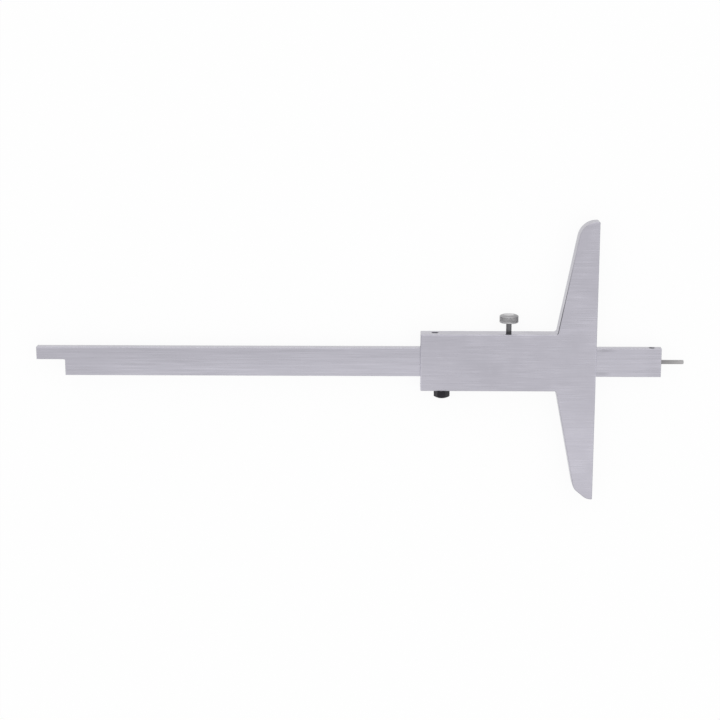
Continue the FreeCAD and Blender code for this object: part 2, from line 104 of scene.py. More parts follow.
class Graph:
    """A node tree that is written as expressions."""

    def __init__(self, tree: bpy.types.NodeTree) -> None:
        """Empties the tree and keeps it."""
        tree.nodes.clear()
        self.tree = tree

    def node(
        self, kind: str, settings: dict | None, *values: object, out: int | str = 0, **named: object
    ) -> Wire | None:
        """Adds a node.

        Args:
            kind: the type of the node.
            settings: its properties, which are set first.
            values: numbers, colours or wires for its first inputs, None to leave one as it is.
            out: the output that is wanted.
            named: values for inputs by name, with _ for a space.

        Returns:
            The wanted output, or None from a node that has no outputs.
        """
        node = self.tree.nodes.new(kind)
        for name, value in (settings or {}).items():
            setattr(node, name, value)
        inputs = list(enumerate(values))
        inputs += [(name.replace("_", " "), value) for name, value in named.items()]
        for key, value in inputs:
            if isinstance(value, Wire):
                self.tree.links.new(value.socket, node.inputs[key])
            elif value is not None:
                node.inputs[key].default_value = value
        return Wire(self, node.outputs[out]) if node.outputs else None

    def vector_math(
        self, operation: str, *values: object, out: int | str = "Value", **named: object
    ) -> Wire:
        """Returns the wanted output of a new Vector Math node."""
        return self.node("ShaderNodeVectorMath", {"operation": operation}, *values, out=out, **named)

    def place(self) -> Wire:
        """Returns the surface's place in metres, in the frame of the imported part."""
        return self.node("ShaderNodeTexCoord", None, out="Object")

    def normal(self) -> Wire:
        """Returns the way that the surface faces."""
        return self.node("ShaderNodeNewGeometry", None, out="Normal")

    def ramp(self, value: Wire, start: float, end: float, low: float, high: float) -> Wire:
        """Returns a value that runs from low to high as another runs from start to end, and stops there."""
        return self.node("ShaderNodeMapRange", None, value, start, end, low, high)

    def tinted(self, colour: Triple, tone: Wire) -> Wire:
        """Returns a colour made lighter or darker by a tone."""
        return self.vector_math("SCALE", colour, Scale=tone, out="Vector")


class Grain(Enum):
    """The way in which a tool has left its marks on a surface."""

    ALONG_X = "ground along the beam, and across it on the ends"
    ROUND_X = "turned about an axis along X"
    ROUND_Y = "turned about an axis along Y"
    ROUND_Z = "turned about an axis along Z"


@dataclass(frozen=True)
class StainAndPaintedLight:
    """A place where a surface is darker, or lighter with a negative depth, and that fades out around it.
    Used for stains and for painted shade and painted highlight.

    The distance from the centre counts each direction by its weight, so (1, 0, 0) makes a band across X,
    (1, 0, 1) a ring round an axis along Y, and (1, 1, 1) a ball.

    Attributes:
        centre: the place's middle, in millimetres.
        weights: how much each direction counts in the distance from it.
        near: the distance up to which the mark is full.
        far: the distance at which it has gone.
        depth: how much darker it is, as a share.
        ragged: how far its outline wanders.
        facing: the way that the faces look that have it, None for all of them.
        turned_away: the cosine to that way at which a face starts to have it.
        turned_to: the cosine at which a face has it in full.
    """

    centre: Triple
    weights: Triple
    near: float
    far: float
    depth: float
    ragged: float = 0.0
    facing: Triple | None = None
    turned_away: float = 0.80
    turned_to: float = 0.95

    def tone(self, graph: Graph, clouds: Wire) -> Wire:
        """Works out how dark the surface is.

        Args:
            graph: the graph to build in.
            clouds: the noise that makes the outline ragged.

        Returns:
            What the colour is multiplied by.
        """
        scale = tuple(weight / MM for weight in self.weights)
        shift = tuple(-place * weight for place, weight in zip(self.centre, self.weights))
        apart = graph.node("ShaderNodeMapping", None, graph.place(), shift, None, scale)
        distance = graph.vector_math("LENGTH", apart) + clouds * self.ragged
        mask = graph.ramp(distance, self.near, self.far, 1.0, 0.0)
        if self.facing:
            likeness = graph.vector_math("DOT_PRODUCT", graph.normal(), self.facing)
            mask = mask * graph.ramp(likeness, self.turned_away, self.turned_to, 0.0, 1.0)
        return 1 - mask * self.depth


@dataclass(frozen=True)
class MetalFinish:
    """A metal surface with tool marks, faint clouds, stains, painted shade and highlight, and rounded edges
    lightened by wear and painted highlight.

    Attributes:
        name: the material's name.
        colour: the metal's colour.
        roughness: how dull it is.
        grain: the way in which its tool marks run.
        axis: a point on the axis that they run round, in millimetres.
        mark_width: how wide a mark is.
        mark_length: how long a ground mark is.
        mark_depth: how far the marks change the tone.
        cloud_size: how large the clouds are.
        cloud_depth: how far they change the tone.
        relief: how deep the marks are to the light.
        edge_round: how far an edge looks rounded.
        edge_gain: how much lighter a rounded edge is, as wear and painted highlight.
        patchiness: how far the clouds make the marks stronger and weaker.
        end_slope: the cosine to the beam's line from which a face counts as an end.
        lightened_slope: the cosine between a rounded edge and its face at which the edge is lightened in
            full.
        gloss_change: how far marks and clouds change the roughness, as a share of their depth.
        bevel_samples: how finely the rounded edges are sampled.
        stains_and_painted_light: the places that are darker or lighter, as stains and as painted shade and
            highlight.
    """

    name: str
    colour: Triple
    roughness: float
    grain: Grain = Grain.ALONG_X
    axis: Triple = (0.0, 0.0, 0.0)
    mark_width: float = 0.45
    mark_length: float = 16.0
    mark_depth: float = 0.05
    cloud_size: float = 14.0
    cloud_depth: float = 0.03
    relief: float = 0.0012
    edge_round: float = 0.12
    edge_gain: float = 0.12
    patchiness: float = 0.0
    end_slope: float = 0.9
    lightened_slope: float = 0.85
    gloss_change: float = 0.6
    bevel_samples: int = 4
    stains_and_painted_light: tuple[StainAndPaintedLight, ...] = ()

    def place(self, graph: Graph) -> Wire:
        """Returns the surface's place from the axis of the finish, in millimetres."""
        shift = tuple(-place for place in self.axis)
        return graph.node("ShaderNodeMapping", None, graph.place(), shift, None, (1 / MM,) * 3)

    def marks(self, graph: Graph, place: Wire) -> Wire:
        """Makes the tool marks.

        Args:
            graph: the graph to build in.
            place: the surface's place in millimetres.

        Returns:
            Their height, about -1 to 1.
        """
        fine = {"Scale": 1.0, "Detail": 4.0, "Roughness": 0.7}
        if self.grain is Grain.ALONG_X:
            drawn = self.drawn_out(graph, place)
            return graph.node("ShaderNodeTexNoise", None, drawn, **fine) * 2 - 1
        axis = "XYZ".index(self.grain.name[-1])
        flat = [1.0, 1.0, 1.0]
        flat[axis] = 0.0
        radius = graph.vector_math("LENGTH", graph.vector_math("MULTIPLY", place, flat, out=0))
        height = graph.node("ShaderNodeSeparateXYZ", None, place, out=axis)
        depth = (radius + height) * (1 / self.mark_width)
        return graph.node("ShaderNodeTexNoise", {"noise_dimensions": "1D"}, W=depth, **fine) * 2 - 1

    def drawn_out(self, graph: Graph, place: Wire) -> Wire:
        """Squeezes the place so that a noise on it is drawn out along X, or along Y on the ends.

        Args:
            graph: the graph to build in.
            place: the surface's place in millimetres.

        Returns:
            The squeezed place.
        """
        length, width = 1 / self.mark_length, 1 / self.mark_width
        lengthwise = graph.node("ShaderNodeMapping", None, place, None, None, (length, width, width))
        crosswise = graph.node("ShaderNodeMapping", None, place, None, None, (width, length, width))
        along = graph.node("ShaderNodeSeparateXYZ", None, graph.normal())
        slope = graph.node("ShaderNodeMath", {"operation": "ABSOLUTE"}, along)
        on_end = graph.node("ShaderNodeMath", {"operation": "GREATER_THAN"}, slope, self.end_slope)
        vectors = {"data_type": "VECTOR"}
        return graph.node("ShaderNodeMix", vectors, on_end, None, None, None, lengthwise, crosswise, out=1)

    def clouds(self, graph: Graph, place: Wire) -> Wire:
        """Returns the broad changes of tone at a place in millimetres, about -1 to 1."""
        soft = {"Detail": 2.0, "Roughness": 0.5, "Distortion": 0.4}
        return graph.node("ShaderNodeTexNoise", None, place, Scale=1 / self.cloud_size, **soft) * 2 - 1

    def worn_and_highlit_edge(self, graph: Graph, rounded: Wire) -> Wire:
        """Returns a mask that is 1 where the rounded normal leaves the face's own, and 0 on flat faces: the
        edges lightened as wear and painted highlight.
        """
        likeness = graph.vector_math("DOT_PRODUCT", rounded, graph.normal())
        return graph.ramp(likeness, 1.0, self.lightened_slope, 0.0, 1.0)

    def build(self) -> bpy.types.Material:
        """Builds the material.

        Returns:
            The material.
        """
        material = bpy.data.materials.new(self.name)
        material.use_nodes = True
        graph = Graph(material.node_tree)
        place = self.place(graph)
        marks, clouds = self.marks(graph, place), self.clouds(graph, place)
        rounded = graph.node("ShaderNodeBevel", {"samples": self.bevel_samples}, self.edge_round * MM)
        wear_and_highlight = self.worn_and_highlit_edge(graph, rounded)
        strength = (1 + clouds * self.patchiness) * self.mark_depth
        # the rounded edges are lightened: partly wear, partly painted highlight
        tone = 1 + marks * strength + clouds * self.cloud_depth + wear_and_highlight * self.edge_gain
        # stains, painted shade and painted highlight multiply the tone
        for spot in self.stains_and_painted_light:
            tone = tone * spot.tone(graph, clouds)
        rougher, glossier = self.mark_depth * self.gloss_change, self.cloud_depth * self.gloss_change
        roughness = self.roughness + marks * rougher - clouds * glossier
        bump = graph.node(
            "ShaderNodeBump", None, Strength=1.0, Distance=self.relief * MM, Height=marks, Normal=rounded
        )
        shader = graph.node(
            "ShaderNodeBsdfPrincipled", None,
            Base_Color=graph.tinted(self.colour, tone), Metallic=1.0, Roughness=roughness, Normal=bump,
        )
        graph.node("ShaderNodeOutputMaterial", None, shader)
        return material


@dataclass(frozen=True)
class InkFinish:
    """Black paint that fills the marks of a scale, with a little dust in it."""

    name: str = "scale_ink"
    colour: Triple = (0.012, 0.012, 0.014)
    roughness: float = 0.55
    roughness_change: float = 0.2
    grain_size: float = 0.08
    darkest: float = 0.6
    dust: float = 0.8

    def build(self) -> bpy.types.Material:
        """Builds the material.

        Returns:
            The material.
        """
        material = bpy.data.materials.new(self.name)
        material.use_nodes = True
        graph = Graph(material.node_tree)
        scale = 1 / (self.grain_size * MM)
        noise = graph.node("ShaderNodeTexNoise", None, graph.place(), Scale=scale, Detail=3.0)
        colour = graph.tinted(self.colour, self.darkest + noise * self.dust)
        roughness = self.roughness + (noise - 0.5) * self.roughness_change
        shader = graph.node(
            "ShaderNodeBsdfPrincipled", None, Base_Color=colour, Roughness=roughness, Metallic=0.0
        )
        graph.node("ShaderNodeOutputMaterial", None, shader)
        return material


# Modelling


class Element(Enum):
    """What is picked in edit mode."""

    VERT = "verts"
    EDGE = "edges"
    FACE = "faces"


class Workpiece:
    """A mesh that is shaped step by step in edit mode."""

    def __init__(self, name: str) -> None:
        """Takes the object that a primitive has just made and names it."""
        self.object = bpy.context.active_object
        self.object.name = self.object.data.name = name

    @staticmethod
    def clear() -> None:
        """Leaves edit mode and deselects everything."""
        if bpy.context.mode != "OBJECT":
            bpy.ops.object.mode_set(mode="OBJECT")
        bpy.ops.object.select_all(action="DESELECT")

    @classmethod
    def start(cls, name: str, primitive: Callable, **settings: object) -> "Workpiece":
        """Adds a primitive.

        Args:
            name: the piece's name.
            primitive: the operator that adds it.
            settings: its size and place.

        Returns:
            The piece, with edit mode open.
        """
        cls.clear()
        primitive(**settings)
        piece = cls(name)
        bpy.ops.object.transform_apply(location=True, rotation=True, scale=True)
        bpy.ops.object.mode_set(mode="EDIT")
        return piece

    def pick(self, kind: Element, test: Callable[[object], bool]) -> int:
        """Selects what passes a test, and nothing else.

        Args:
            kind: vertices, edges or faces.
            test: says whether an element is wanted.

        Returns:
            The number of elements picked.
        """
        bpy.ops.mesh.select_mode(type=kind.name)
        bpy.ops.mesh.select_all(action="DESELECT")
        mesh = bmesh.from_edit_mesh(self.object.data)
        wanted = [element for element in getattr(mesh, kind.value) if test(element)]
        for element in wanted:
            element.select_set(True)
        mesh.select_flush_mode()
        bmesh.update_edit_mesh(self.object.data)
        return len(wanted)

    def modify(self, kind: str, **settings: object) -> None:
        """Adds a modifier and applies it.

        Args:
            kind: the type of the modifier.
            settings: its properties.
        """
        bpy.ops.object.mode_set(mode="OBJECT")
        modifier = self.object.modifiers.new(kind.lower(), kind)
        for name, value in settings.items():
            setattr(modifier, name, value)
        bpy.ops.object.modifier_apply(modifier=modifier.name)
        bpy.ops.object.mode_set(mode="EDIT")

    def tidy(self) -> None:
        """Merges doubles and turns every face outwards."""
        bpy.ops.mesh.select_mode(type="VERT")
        bpy.ops.mesh.select_all(action="SELECT")
        bpy.ops.mesh.remove_doubles(threshold=MERGE_WITHIN * MM)
        bpy.ops.mesh.normals_make_consistent(inside=False)

    def finish(self, material: bpy.types.Material, smooth_below: float = 30.0) -> bpy.types.Object:
        """Closes edit mode and gives the piece its finish.

        Args:
            material: the finish.
            smooth_below: the angle in degrees below which an edge looks smooth.

        Returns:
            The finished object.
        """
        self.clear()
        self.object.data.materials.clear()
        self.object.data.materials.append(material)
        self.object.select_set(True)
        bpy.context.view_layer.objects.active = self.object
        bpy.ops.object.shade_smooth_by_angle(angle=math.radians(smooth_below))
        return self.object

    def dress_part(
        self, material: bpy.types.Material, test: Callable[[bpy.types.MeshPolygon], bool]
    ) -> None:
        """Gives some faces of the finished piece another finish.

        Args:
            material: the finish.
            test: says whether a face gets it.
        """
        mesh = self.object.data
        mesh.materials.append(material)
        for face in mesh.polygons:
            if test(face):
                face.material_index = len(mesh.materials) - 1


def joined(name: str, parts: list[bpy.types.Object]) -> bpy.types.Object:
    """Joins parts into one object.

    Args:
        name: the name of the result.
        parts: the objects to join.

    Returns:
        The joined object.
    """
    Workpiece.clear()
    for part in parts:
        part.select_set(True)
    bpy.context.view_layer.objects.active = parts[0]
    bpy.ops.object.join()
    parts[0].name = parts[0].data.name = name
    return parts[0]


def dress(finishes: dict[str, bpy.types.Material]) -> None:
    """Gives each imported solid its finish.

    Args:
        finishes: the material of each solid, by the solid's name.
    """
    for name, material in finishes.items():
        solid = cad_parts[name]
        solid.data.materials.clear()
        solid.data.materials.append(material)


# The sub-assemblies


@dataclass
class Body:
    """The slider with its bridge, the gib behind the beam and the screws of the slider."""

    steel: MetalFinish = MetalFinish(
        "ground_steel_finish", (0.450, 0.439, 0.490), 0.30, mark_width=0.4, mark_depth=0.21, cloud_size=9.0,
        cloud_depth=0.10, edge_round=0.30, edge_gain=0.12, patchiness=1.5,
        stains_and_painted_light=(
            # Painted shade: darkens the chamfer along the upper arm's slanted inner edge.
            StainAndPaintedLight((-13.2, 14.0, 0.0), (1.0, 1.0, 0.0), 3.0, 26.0, 0.68, 3.0, (-0.70, 0.13, 0.70)),
            # Painted sheen: the lower arm is lighter.
            StainAndPaintedLight((-15.0, -33.0, 0.0), (1.0, 1.0, 0.0), 5.0, 24.0, -0.10, 8.0),
            # Painted sheen: lighter towards the slider's lower left end.
            StainAndPaintedLight((-61.0, -10.0, 0.0), (1.0, 1.0, 0.0), 3.0, 18.0, -0.08, 6.0),
            # Painted highlight: lightens the chamfer on the slider's left end.
            StainAndPaintedLight((-61.8, -4.0, 0.0), (1.0, 1.0, 0.0), 5.0, 11.0, -0.35, 1.0, (-0.70, 0.0, 0.70)),
            # Painted highlight: lightens the chamfer along the bridge's measuring edge.
            StainAndPaintedLight((0.0, 0.0, 0.0), (1.0, 1.0, 0.0), 4.5, 9.0, -0.42, 1.0, (0.70, 0.0, 0.70)),
        ),
    )
    bronze: MetalFinish = MetalFinish("gib_bronze_finish", (0.46, 0.32, 0.19), 0.34, mark_depth=0.08)
    brass: MetalFinish = MetalFinish(
        "pad_brass_finish", (0.62, 0.46, 0.17), 0.32, Grain.ROUND_Y, LOCK_AXIS, mark_width=0.2
    )
    # Painted shade: the set screw is coloured dark to stand for the shade in its recessed hole.
    screw: MetalFinish = MetalFinish(
        "gib_screw_finish", (0.15, 0.15, 0.155), 0.42, Grain.ROUND_Y, (-56.7, 0.0, 3.0), mark_width=0.15
    )
    stud: MetalFinish = MetalFinish(
        "black_oxide_finish", (0.030, 0.029, 0.033), 0.42, Grain.ROUND_Y, (-54.17, 0.0, 3.9),
        mark_width=0.25, mark_depth=0.18, cloud_size=2.5, cloud_depth=0.2, edge_gain=0.5,
    )

    def build(self) -> None:
        """Gives the solids of the slider their finishes."""
        dress({
            "slider_bridge": self.steel.build(),
            "gib_strip": self.bronze.build(),
            "pressure_pad": self.brass.build(),
            "gib_screw": self.screw.build(),
            "thumb_stud": self.stud.build(),
        })


@dataclass
class LockScrew:
    """The knurled screw that presses the gib on the beam; its axis lies along Y.

    Attributes:
        axis_x: the place of its axis along the beam.
        axis_z: the height of its axis.
        tip: the end of its point, along Y.
        point_length: the plain point's length.
        head_low: the start of the head.
        head_radius: the head's radius over the knurl.
        rim: the broken edge at the head's start.
        band_high: the end of the knurled band.
        end_steps: the head's end as steps across and along.
        diamonds_round: the diamonds round the band.
        diamond_rows: the rows of diamonds.
        knurl_depth: the depth of its grooves.
        disc_radius: the disc in the middle of the head's end that is painted lighter, as painted highlight.
        smooth_head_below: the angle below which the head's edges look smooth.
        thread_radius: the radius over the thread.
        root_radius: the radius at the thread's root.
        pitch: the rise in a turn.
        thread_sides: the sides of a turn.
        thread_steps: the thread's profile, as shares of the pitch and of the thread's depth.
        spare_turns: turns that are swept and cut off again.
        first_cut_turns: the height of the lower cut, in turns.
        cut_within: how near a point is that counts as on the cut.
        most_sides: the most sides of a face of the thread itself.
        stem_in_head: how far the stem goes into the head.
        point_step: the step between the thread's end and the point.
        point_round: the rounding of the point.
        smooth_stem_below: the angle below which the stem's edges look smooth.
        band_finish: the finish of the knurled band.
        rim_finish: the finish of the head's end, a darker copy of the head's steel as painted shade, with
            more painted shade on its +X side.
        disc_finish: the finish of its middle, a lighter copy of the same steel as painted highlight.
        stem_finish: the finish of the stem.
    """

    axis_x: float = LOCK_AXIS[0]
    axis_z: float = LOCK_AXIS[2]
    tip: float = 7.59
    point_length: float = 0.55
    head_low: float = 14.1
    head_radius: float = 3.34
    rim: float = 0.30
    band_high: float = 16.45
    end_steps: tuple[tuple[float, float], ...] = ((0.18, 0.16), (0.44, 0.23), (1.0, 0.10), (0.12, -0.02))
    diamonds_round: int = 36
    diamond_rows: int = 4
    knurl_depth: float = 0.17
    disc_radius: float = 1.9
    smooth_head_below: float = 12.0
    thread_radius: float = 1.0
    root_radius: float = 0.93
    pitch: float = 0.4
    thread_sides: int = 24
    thread_steps: tuple[tuple[float, float], ...] = ((0.10, 0.0), (0.35, 1.0), (0.15, 0.0), (0.40, -1.0))
    spare_turns: int = 2
    first_cut_turns: float = 1.025
    cut_within: float = 0.0001
    most_sides: int = 8
    stem_in_head: float = 0.2
    point_step: float = 0.06
    point_round: float = 0.1
    smooth_stem_below: float = 25.0
    band_finish: MetalFinish = MetalFinish(
        "knurled_band_finish", (0.50, 0.495, 0.505), 0.32, Grain.ROUND_Y, LOCK_AXIS,
        mark_width=0.18, cloud_size=1.8, cloud_depth=0.22, edge_gain=0.25,
        stains_and_painted_light=(
            # Darker where the radius is below the knurl's crests, in its grooves.
            StainAndPaintedLight(LOCK_AXIS, (1.0, 0.0, 1.0), 3.19, 3.33, 0.35),
            # Painted shade: the knurled band is darkened on its +X and -X sides, as on a lit cylinder.
            StainAndPaintedLight((-27.6, 15.0, 6.0), (1.0, 0.4, 1.0), 0.8, 3.6, 0.36, 0.6),
            StainAndPaintedLight((-33.9, 15.0, 6.0), (1.0, 0.4, 1.0), 0.5, 3.0, 0.22, 0.6),
        ),
    )
    # Painted shade: the head's end is a darker copy of its steel, and darker still on its +X side.
    rim_finish: MetalFinish = MetalFinish(
        "lock_rim_finish", (0.35, 0.345, 0.355), 0.32, Grain.ROUND_Y, LOCK_AXIS,
        mark_width=0.18, cloud_size=2.0, cloud_depth=0.2,
        stains_and_painted_light=(StainAndPaintedLight((-27.9, 17.0, 4.5), (1.0, 0.4, 1.0), 0.8, 3.2, 0.32, 0.5),),
    )
    # Painted highlight: the middle of the head's end is a lighter copy of the steel.
    disc_finish: MetalFinish = MetalFinish(
        "lock_disc_finish", (0.53, 0.525, 0.535), 0.28, Grain.ROUND_Y, LOCK_AXIS,
        mark_width=0.18, mark_depth=0.1, cloud_size=2.0, cloud_depth=0.12,
    )
    stem_finish: MetalFinish = MetalFinish(
        "lock_stem_finish", (0.155, 0.155, 0.16), 0.34, Grain.ROUND_Y, LOCK_AXIS,
        mark_width=0.1, cloud_size=1.5, cloud_depth=0.25, edge_gain=0.3,
        # Darker towards the stem's foot, next to the slider.
        stains_and_painted_light=(StainAndPaintedLight((0.0, 10.4, 0.0), (0.0, 1.0, 0.0), 0.1, 1.2, 0.55, 0.3),),
    )

    def radius_of(self, place: Vector) -> float:
        """Returns a place's distance from the screw's axis, in millimetres."""
        return math.hypot(place.x / MM - self.axis_x, place.z / MM - self.axis_z)

    def turn_of(self, place: Vector) -> float:
        """Returns a place's angle round the screw's axis."""
        return math.atan2(place.z / MM - self.axis_z, place.x / MM - self.axis_x)

    def is_on_end(self, face: bpy.types.MeshPolygon) -> bool:
        """Tells whether a face of the finished head belongs to its domed end."""
        return face.center.y > (self.band_high + SLACK) * MM

    def build_head(self) -> bpy.types.Object:
        """Models the head: a disc with a diamond knurl, a broken lower rim and a domed, flat-topped end.

        Returns:
            The head.
        """
        middle = (self.head_low + self.band_high) / 2
        centre = vector((self.axis_x, middle, self.axis_z))
        head = Workpiece.start(
            "lock_head", bpy.ops.mesh.primitive_cylinder_add, vertices=2 * self.diamonds_round,
            radius=self.head_radius * MM, depth=(self.band_high - self.head_low) * MM,
            location=centre, rotation=(-math.pi / 2, 0.0, 0.0),
        )
        rim_top = self.head_low + SLACK
        head.pick(Element.EDGE, lambda edge: max(vert.co.y for vert in edge.verts) < rim_top * MM)
        bpy.ops.mesh.bevel(offset=self.rim * MM, segments=2)
        band_height = self.band_high - self.head_low - self.rim
        head.pick(
            Element.EDGE,
            lambda edge: abs(edge.verts[0].co.y - edge.verts[1].co.y) > band_height / 2 * MM,
        )
        rows = 2 * self.diamond_rows
        bpy.ops.mesh.subdivide(number_cuts=rows - 1)

        def is_groove(vert: bmesh.types.BMVert) -> bool:
            """Tells whether a vertex lies where two grooves of the knurl cross.

            Args:
                vert: a vertex of the head.

            Returns:
                True for a crossing.
            """
            row = (vert.co.y / MM - self.head_low - self.rim) / band_height * rows
            column = self.turn_of(vert.co) / math.pi * self.diamonds_round
            inside = 0.5 < row < rows - 0.5 and self.radius_of(vert.co) > self.head_radius - self.rim / 2
            return inside and round(row + column) % 2 == 0

        grooves = head.pick(Element.VERT, is_groove)
        keep = 1 - self.knurl_depth / self.head_radius
        bpy.ops.transform.resize(value=(keep, 1.0, keep), center_override=centre)
        low, high = self.head_low + self.rim - SLACK, self.band_high + SLACK
        head.pick(Element.FACE, lambda face: low * MM < face.calc_center_median().y < high * MM)
        bpy.ops.mesh.quads_convert_to_tris(quad_method="SHORTEST_DIAGONAL")
        head.pick(Element.FACE, lambda face: face.normal.y > STRAIGHT)
        for across, along in self.end_steps:
            bpy.ops.mesh.inset(thickness=across * MM, depth=along * MM)
        head.tidy()
        log.info("lock head: %d groove crossings", grooves)
        head.finish(self.band_finish.build(), self.smooth_head_below)
        head.dress_part(self.rim_finish.build(), self.is_on_end)
        head.dress_part(
            self.disc_finish.build(),
            lambda face: self.is_on_end(face) and self.radius_of(face.center) < self.disc_radius,
        )
        return head.object

    def build_stem(self) -> bpy.types.Object:
        """Models the stem: a thread swept up the axis and cut square at both ends, and a plain point.

        Returns:
            The stem.
        """
        low, high = self.tip + self.point_length, self.head_low + self.stem_in_head
        stem = Workpiece.start("lock_stem", bpy.ops.mesh.primitive_plane_add, size=self.pitch * MM)
        stem.pick(Element.VERT, lambda vert: vert.index != 0)
        bpy.ops.mesh.delete(type="VERT")
        stem.pick(Element.VERT, lambda vert: True)
        start = Vector((self.root_radius * MM, 0.0, 0.0))
        first = bmesh.from_edit_mesh(stem.object.data).verts
        first.ensure_lookup_table()
        bpy.ops.transform.translate(value=start - first[0].co)
        flank = self.thread_radius - self.root_radius
        for rise, out in self.thread_steps:
            step = (out * flank * MM, 0.0, rise * self.pitch * MM)
            bpy.ops.mesh.extrude_region_move(TRANSFORM_OT_translate={"value": step})
        turns = math.ceil((high - low) / self.pitch) + self.spare_turns
        stem.modify(
            "SCREW", axis="Z", angle=2 * math.pi, screw_offset=self.pitch * MM, iterations=turns,
            steps=self.thread_sides, render_steps=self.thread_sides, use_merge_vertices=True,
            merge_threshold=MERGE_WITHIN * MM,
        )
        bpy.ops.mesh.select_all(action="SELECT")
        bpy.ops.mesh.remove_doubles(threshold=MERGE_WITHIN * MM)
        first_cut = self.first_cut_turns * self.pitch
        for height, outer in ((first_cut, False), (first_cut + high - low, True)):
            bpy.ops.mesh.select_all(action="SELECT")
            bpy.ops.mesh.bisect(
                plane_co=(0.0, 0.0, height * MM), plane_no=(0.0, 0.0, 1.0), use_fill=True,
                clear_inner=not outer, clear_outer=outer, threshold=self.cut_within * MM,
            )
        stem.tidy()
        stem.pick(Element.FACE, lambda face: face.normal.z < -STRAIGHT and len(face.verts) > self.most_sides)
        bpy.ops.mesh.inset(thickness=self.point_step * MM)
        down = (0.0, 0.0, -self.point_length * MM)
        bpy.ops.mesh.extrude_region_move(TRANSFORM_OT_translate={"value": down})
        bpy.ops.mesh.bevel(offset=self.point_round * MM, segments=2)
        bpy.ops.object.mode_set(mode="OBJECT")
        lift = Matrix.Translation(Vector((0.0, 0.0, (low - first_cut) * MM)))
        stand = Matrix.Translation(vector((self.axis_x, 0.0, self.axis_z)))
        stem.object.matrix_world = stand @ Matrix.Rotation(-math.pi / 2, 4, "X") @ lift
        stem.clear()
        stem.object.select_set(True)
        bpy.ops.object.transform_apply(location=True, rotation=True, scale=True)
        return stem.finish(self.stem_finish.build(), self.smooth_stem_below)

    def build(self) -> bpy.types.Object:
        """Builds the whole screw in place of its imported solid.

        Returns:
            The screw.
        """
        screw = joined("lock_screw_knurled", [self.build_head(), self.build_stem()])
        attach(screw, "lock_screw")
        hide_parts("lock_screw")
        return screw


class Side(Enum):
    """The side of the zero line on which the strokes of a scale stand."""

    ABOVE = 1
    BELOW = -1


@dataclass(frozen=True)
class Row:
    """Strokes of one length: groups of neighbours, repeated along a scale.

    Attributes:
        first: the place of the first stroke, in steps.
        group: the neighbours in a group.
        every: the steps from group to group.
        count: the number of groups.
        length: the length of a stroke.
    """

    first: int
    group: int
    every: int
    count: int
    length: float


@dataclass
class Scale:
    """The marks of one scale with their numbers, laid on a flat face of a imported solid.

    Attributes:
        name: the piece's name.
        body: the body that it rides on.
        zero: the place of its zero mark.
        up: the way that its figures stand.
        step: the distance between marks.
        marks: the number of steps along it.
        rows: its strokes.
        side: the side of the zero line on which they stand.
        number_every: the steps from figure to figure.
        number_step: what the figures count by.
        number_base: the height of the figures' foot over the zero line.
        number_height: the height of the figures.
        figure_share: the height of a figure as a share of the size of its letters.
        figure_points: how finely the figures' curves are cut.
        width: the width of a stroke.
        soft_edge: the softened edge of its face.
        proud: how far strokes and figures stand out of the face.
        right: the way along the scale.
    """

    name: str
    body: str
    zero: Triple
    up: Triple
    step: float
    marks: int
    rows: tuple[Row, ...]
    side: Side
    number_every: int
    number_step: int
    number_base: float
    number_height: float
    figure_share: float = 0.69
    figure_points: int = 4
    width: float = 0.12
    soft_edge: float = 0.015
    proud: float = 0.012
    right: Triple = (-1.0, 0.0, 0.0)

    def stand(self) -> Matrix:
        """Works out how the scale stands: right, up and out as its reader sees them.

        Returns:
            Its turn and place.
        """
        right, up = Vector(self.right), Vector(self.up).normalized()
        turn = Matrix((right, up, right.cross(up))).transposed().to_4x4()
        return Matrix.Translation(vector(self.zero)) @ turn

    def build_row(self, row: Row) -> bpy.types.Object:
        """Models the strokes of one length: one with a softened face, repeated along the scale.

        Args:
            row: their places and length.

        Returns:
            The strokes.
        """
        strokes = Workpiece.start(
            f"{self.name}_row", bpy.ops.mesh.primitive_cube_add, size=1.0,
            location=(row.first * self.step * MM, self.side.value * row.length / 2 * MM, 0.0),
            scale=(self.width * MM, row.length * MM, 2 * self.proud * MM),
        )
        strokes.pick(Element.FACE, lambda face: face.normal.z > STRAIGHT)
        bpy.ops.mesh.inset(thickness=self.soft_edge * MM)
        for count, apart in ((row.group, 1), (row.count, row.every)):
            strokes.modify(
                "ARRAY", count=count, use_relative_offset=False, use_constant_offset=True,
                constant_offset_displace=(apart * self.step * MM, 0.0, 0.0),
            )
        bpy.ops.object.mode_set(mode="OBJECT")
        return strokes.object

    def build_number(self, mark: int) -> bpy.types.Object:
        """Models the number of a mark as a thin solid.

        Args:
            mark: the mark's place in steps.

        Returns:
            The number.
        """
        Workpiece.clear()
        bpy.ops.object.text_add(location=(mark * self.step * MM, self.number_base * MM, 0.0))
        text = bpy.context.active_object
        text.data.body = str(mark // self.number_every * self.number_step)
        text.data.size = self.number_height / self.figure_share * MM
        text.data.align_x = "CENTER"
        text.data.resolution_u = self.figure_points
        text.data.extrude = self.proud * MM
        bpy.ops.object.convert(target="MESH")
        bpy.ops.object.transform_apply(location=True, rotation=True, scale=True)
        number = Workpiece(f"{self.name}_number")
        bpy.ops.object.mode_set(mode="EDIT")
        number.tidy()
        bpy.ops.object.mode_set(mode="OBJECT")
        return number.object

    def build(self, ink: bpy.types.Material) -> bpy.types.Object:
        """Builds the scale, riding on its body.

        Args:
            ink: the finish of the marks and numbers.

        Returns:
            The scale.
        """
        parts = [self.build_row(row) for row in self.rows]
        parts += [self.build_number(mark) for mark in range(0, self.marks + 1, self.number_every)]
        scale = joined(self.name, parts)
        scale.matrix_world = self.stand()
        bpy.ops.object.transform_apply(location=True, rotation=True, scale=True)
        scale.data.materials.clear()
        scale.data.materials.append(ink)
        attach(scale, self.body)
        return scale


